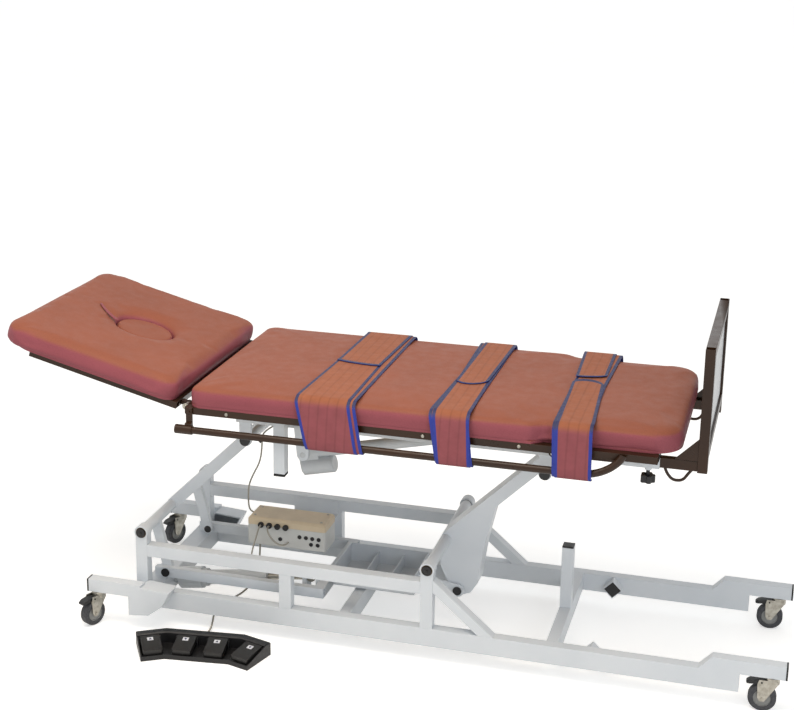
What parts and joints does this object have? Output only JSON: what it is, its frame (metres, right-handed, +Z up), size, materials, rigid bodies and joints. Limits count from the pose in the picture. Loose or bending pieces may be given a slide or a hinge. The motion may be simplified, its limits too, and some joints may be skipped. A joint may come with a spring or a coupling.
{
  "type": "tilt table",
  "caption": "Padded treatment table on a lifting and tilting steel frame, with a raised head section, straps, footboard, casters and a foot switch.",
  "frame": {"origin": "on the floor below the head crank's axis, in the table's centre plane", "axes": "+X along the table from head end to foot end, +Y to the far side, +Z up"},
  "size_m": [2.2269, 0.8647, 0.99],
  "materials": {
    "grey_steel": "pale grey powder coat",
    "brown_steel": "dark brown powder coat",
    "zinc": "zinc plated",
    "black_plastic": "moulded, fine grain",
    "box_plastic": "moulded, warm grey",
    "bronze": "machined bush",
    "tyre_rubber": "grey rubber",
    "pad_rubber": "black rubber",
    "upholstery": "smooth coated cloth",
    "strap_cloth": "coated cloth with bound edges",
    "plywood": "birch ply",
    "panel_board": "laminated board",
    "cable_grey": "light grey sheath"
  },
  "bodies": {
    "base": {"base_rail_near": "grey_steel", "base_rail_far": "grey_steel", "side_frame_near": "grey_steel", "side_frame_far": "grey_steel", "base_cross_tubes": "grey_steel", "head_outriggers": "grey_steel", "frame_caps": "black_plastic", "pivot_bushes": "bronze", "caster_mounts": "zinc", "lift_actuator": "black_plastic", "control_box": "box_plastic", "control_box_lid": "box_plastic", "control_sockets": "black_plastic", "foot_switch": "black_plastic", "switch_cord": "cable_grey", "actuator_cables": "cable_grey", "tilt_cable": "cable_grey"},
    "head_crank": {"head_crank": "grey_steel"},
    "foot_crank": {"foot_crank": "grey_steel"},
    "drawbar": {"drawbar_links": "grey_steel", "drawbar_channel": "grey_steel"},
    "lift_rod": {"lift_rod": "zinc"},
    "carriage": {"carriage_frame": "grey_steel", "carriage_pads": "pad_rubber"},
    "tilt_motor": {"tilt_motor": "black_plastic"},
    "tilt_rod": {"tilt_rod": "zinc"},
    "table": {"table_frame": "brown_steel", "table_deck": "plywood", "body_cushion": "upholstery", "accessory_rails": "brown_steel", "rail_brackets": "brown_steel", "frame_screws": "zinc", "straps": "strap_cloth", "hinge_plates": "zinc", "guide_sleeves": "grey_steel"},
    "head_section": {"head_frame": "brown_steel", "head_deck": "plywood", "head_cushion": "upholstery"},
    "face_plug": {"face_plug": "upholstery"},
    "footboard": {"footboard_frame": "brown_steel", "footboard_panel": "panel_board", "footboard_arms": "brown_steel"},
    "lock_knob_near": {"lock_knob_near": "black_plastic"},
    "lock_knob_far": {"lock_knob_far": "black_plastic"},
    "fork_foot_near": {"fork_foot_near": "zinc"},
    "wheel_foot_near": {"wheel_foot_near": "tyre_rubber"},
    "brake_foot_near": {"brake_foot_near": "black_plastic"},
    "fork_foot_far": {"fork_foot_far": "zinc"},
    "wheel_foot_far": {"wheel_foot_far": "tyre_rubber"},
    "brake_foot_far": {"brake_foot_far": "black_plastic"},
    "fork_head_near": {"fork_head_near": "zinc"},
    "wheel_head_near": {"wheel_head_near": "tyre_rubber"},
    "brake_head_near": {"brake_head_near": "black_plastic"},
    "fork_head_far": {"fork_head_far": "zinc"},
    "wheel_head_far": {"wheel_head_far": "tyre_rubber"},
    "brake_head_far": {"brake_head_far": "black_plastic"},
    "switch_pedal_1": {"switch_pedal_1": "black_plastic"},
    "switch_pedal_2": {"switch_pedal_2": "black_plastic"},
    "switch_pedal_3": {"switch_pedal_3": "black_plastic"},
    "switch_pedal_4": {"switch_pedal_4": "black_plastic"}
  },
  "joints": [
    {"name": "lift", "type": "hinge", "parent": "base", "child": "head_crank", "pos_m": [0, 0, 0.28], "axis": [0, -1, 0], "range_deg": [-39, 35], "deforming": ["tilt_cable"]},
    {"name": "foot_crank_turn", "type": "hinge", "parent": "base", "child": "foot_crank", "pos_m": [0.863, 0, 0.28], "axis": [0, -1, 0], "range_deg": [-39.01, 35.01]},
    {"name": "drawbar_level", "type": "hinge", "parent": "head_crank", "child": "drawbar", "pos_m": [0.04, 0, 0.125], "axis": [0, -1, 0], "range_deg": [-35.01, 39.01]},
    {"name": "carriage_level", "type": "hinge", "parent": "head_crank", "child": "carriage", "pos_m": [0.309, 0, 0.583], "axis": [0, -1, 0], "range_deg": [-35.01, 39.01]},
    {"name": "lift_rod_slide", "type": "slide", "parent": "base", "child": "lift_rod", "axis": [0.989, 0, 0.1478], "range_m": [-0.1008, 0.0905]},
    {"name": "tilt", "type": "hinge", "parent": "carriage", "child": "table", "pos_m": [1.2, 0, 0.66], "axis": [0, 1, 0], "range_deg": [0, 85]},
    {"name": "tilt_motor_swing", "type": "hinge", "parent": "carriage", "child": "tilt_motor", "pos_m": [0.445, -0.08, 0.515], "axis": [0, -1, 0], "range_deg": [0, 16.57]},
    {"name": "tilt_rod_slide", "type": "slide", "parent": "tilt_motor", "child": "tilt_rod", "axis": [0.9759, 0, 0.2184], "range_m": [0, 0.2861]},
    {"name": "head_raise", "type": "hinge", "parent": "table", "child": "head_section", "pos_m": [0.165, 0, 0.7], "axis": [0, 1, 0], "range_deg": [-32, 16]},
    {"name": "face_plug_lift", "type": "slide", "parent": "head_section", "child": "face_plug", "axis": [0.2419, 0, 0.9703], "range_m": [0, 0.12]},
    {"name": "footboard_slide", "type": "slide", "parent": "table", "child": "footboard", "axis": [1, 0, 0], "range_m": [0, 0.08]},
    {"name": "knob_turn_near", "type": "hinge", "parent": "table", "child": "lock_knob_near", "pos_m": [1.45, -0.251, 0.622], "axis": [0, 0, 1], "range_deg": [0, 360]},
    {"name": "knob_turn_far", "type": "hinge", "parent": "table", "child": "lock_knob_far", "pos_m": [1.45, 0.251, 0.622], "axis": [0, 0, 1], "range_deg": [0, 360]},
    {"name": "swivel_foot_near", "type": "hinge", "parent": "base", "child": "fork_foot_near", "pos_m": [1.81, -0.2485, 0.088], "axis": [0, 0, 1], "continuous": true},
    {"name": "roll_foot_near", "type": "hinge", "parent": "fork_foot_near", "child": "wheel_foot_near", "pos_m": [1.786, -0.2485, 0.0375], "axis": [0, 1, 0], "continuous": true},
    {"name": "brake_press_foot_near", "type": "hinge", "parent": "fork_foot_near", "child": "brake_foot_near", "pos_m": [1.783, -0.2485, 0.085], "axis": [0, -1, 0], "range_deg": [0, 5]},
    {"name": "swivel_foot_far", "type": "hinge", "parent": "base", "child": "fork_foot_far", "pos_m": [1.81, 0.2485, 0.088], "axis": [0, 0, 1], "continuous": true},
    {"name": "roll_foot_far", "type": "hinge", "parent": "fork_foot_far", "child": "wheel_foot_far", "pos_m": [1.786, 0.2485, 0.0375], "axis": [0, 1, 0], "continuous": true},
    {"name": "brake_press_foot_far", "type": "hinge", "parent": "fork_foot_far", "child": "brake_foot_far", "pos_m": [1.783, 0.2485, 0.085], "axis": [0, -1, 0], "range_deg": [0, 5]},
    {"name": "swivel_head_near", "type": "hinge", "parent": "base", "child": "fork_head_near", "pos_m": [-0.122, -0.3085, 0.088], "axis": [0, 0, 1], "continuous": true},
    {"name": "roll_head_near", "type": "hinge", "parent": "fork_head_near", "child": "wheel_head_near", "pos_m": [-0.13214, -0.33025, 0.0375], "axis": [-0.9063, 0.4226, 0], "continuous": true},
    {"name": "brake_press_head_near", "type": "hinge", "parent": "fork_head_near", "child": "brake_head_near", "pos_m": [-0.13341, -0.33297, 0.085], "axis": [0.9063, -0.4226, 0], "range_deg": [0, 5]},
    {"name": "swivel_head_far", "type": "hinge", "parent": "base", "child": "fork_head_far", "pos_m": [-0.122, 0.3085, 0.088], "axis": [0, 0, 1], "continuous": true},
    {"name": "roll_head_far", "type": "hinge", "parent": "fork_head_far", "child": "wheel_head_far", "pos_m": [-0.13214, 0.28675, 0.0375], "axis": [-0.9063, 0.4226, 0], "continuous": true},
    {"name": "brake_press_head_far", "type": "hinge", "parent": "fork_head_far", "child": "brake_head_far", "pos_m": [-0.13341, 0.28403, 0.085], "axis": [0.9063, -0.4226, 0], "range_deg": [0, 5]},
    {"name": "pedal_press_1", "type": "hinge", "parent": "base", "child": "switch_pedal_1", "pos_m": [0.08731, -0.41637, 0.025], "axis": [0.8572, 0.515, 0], "range_deg": [0, 4], "stiffness_Nm_per_rad": 8, "springref_deg": -4.58},
    {"name": "pedal_press_2", "type": "hinge", "parent": "base", "child": "switch_pedal_2", "pos_m": [0.1907, -0.38371, 0.025], "axis": [0.9914, 0.1305, 0], "range_deg": [0, 4], "stiffness_Nm_per_rad": 8, "springref_deg": -4.58},
    {"name": "pedal_press_3", "type": "hinge", "parent": "base", "child": "switch_pedal_3", "pos_m": [0.28191, -0.37171, 0.025], "axis": [0.9914, 0.1305, 0], "range_deg": [0, 4], "stiffness_Nm_per_rad": 8, "springref_deg": -4.58},
    {"name": "pedal_press_4", "type": "hinge", "parent": "base", "child": "switch_pedal_4", "pos_m": [0.39022, -0.37649, 0.025], "axis": [0.9613, -0.2756, 0], "range_deg": [0, 4], "stiffness_Nm_per_rad": 8, "springref_deg": -4.58}
  ],
  "couplings": [
    {"joint": "foot_crank_turn", "follows": "lift", "ratio": 1},
    {"joint": "drawbar_level", "follows": "lift", "ratio": -1},
    {"joint": "carriage_level", "follows": "lift", "ratio": -1},
    {"joint": "lift_rod_slide", "follows": "lift", "m_per_rad": 0.1475},
    {"joint": "tilt_motor_swing", "follows": "tilt", "ratio": 0.19467},
    {"joint": "tilt_rod_slide", "follows": "tilt", "m_per_rad": 0.19251}
  ]
}
